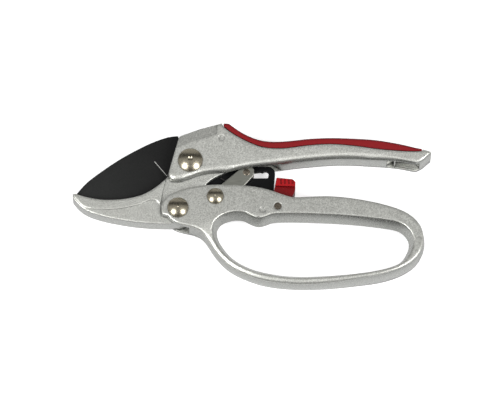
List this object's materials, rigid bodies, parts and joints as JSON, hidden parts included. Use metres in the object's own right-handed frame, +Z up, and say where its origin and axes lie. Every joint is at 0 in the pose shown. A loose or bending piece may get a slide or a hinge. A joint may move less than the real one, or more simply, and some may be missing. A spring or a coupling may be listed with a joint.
{
  "type": "ratchet pruning shears",
  "caption": "One-hand ratchet anvil pruning shears with a finger loop, a notched blade tail driven by a link, and a thumb latch.",
  "frame": {"origin": "on the surface the shears lie on, under the middle of their outline", "axes": "+X from the jaws to the handles' ends, +Y from the finger loop to the upper handle, +Z up, out of the rivet heads"},
  "size_m": [0.2046, 0.0974, 0.02],
  "materials": {
    "cast_aluminium": "silver paint with a fine sparkle over cast aluminium",
    "grip_rubber": "matt, finely dotted",
    "nickel_plate": "bright nickel",
    "black_coating": "matt black non-stick coating on steel",
    "plain_steel": "plain stamped steel",
    "latch_plastic": "satin red"
  },
  "bodies": {
    "upper": {"upper_handle": "cast_aluminium", "upper_grip": "grip_rubber", "anvil_jaw": "cast_aluminium", "blade_rivet": "nickel_plate", "blade_rivet_collar": "nickel_plate", "blade_bush": "plain_steel", "handle_rivet": "nickel_plate", "handle_rivet_collar": "nickel_plate"},
    "blade": {"blade": "black_coating"},
    "lower": {"lower_handle": "cast_aluminium", "link_rivet": "nickel_plate", "link_rivet_collar": "nickel_plate", "link_spacer": "plain_steel", "opening_spring": "plain_steel", "latch_pin": "plain_steel"},
    "link": {"link_front": "plain_steel", "link_rear": "plain_steel", "ratchet_pin": "plain_steel"},
    "latch": {"latch": "latch_plastic"}
  },
  "joints": [
    {"name": "handle_swing", "type": "hinge", "parent": "upper", "child": "lower", "pos_m": [-0.0422, -0.00309, 0.0085], "axis": [0, 0, -1], "range_deg": [0, 45]},
    {"name": "blade_swing", "type": "hinge", "parent": "upper", "child": "blade", "pos_m": [-0.0353, 0.02561, 0.0085], "axis": [0, 0, -1], "range_deg": [0, 27]},
    {"name": "link_swing", "type": "hinge", "parent": "lower", "child": "link", "pos_m": [-0.021, 0.00381, 0.0085], "axis": [0, 0, 1], "range_deg": [0, 49.2]},
    {"name": "latch_swing", "type": "hinge", "parent": "lower", "child": "latch", "pos_m": [0.0146, -0.00209, 0.0085], "axis": [0, 0, 1], "range_deg": [-6, 9]}
  ],
  "couplings": [
    {"joint": "blade_swing", "follows": "handle_swing", "ratio": 0.6},
    {"joint": "link_swing", "follows": "handle_swing", "ratio": 1.093}
  ]
}
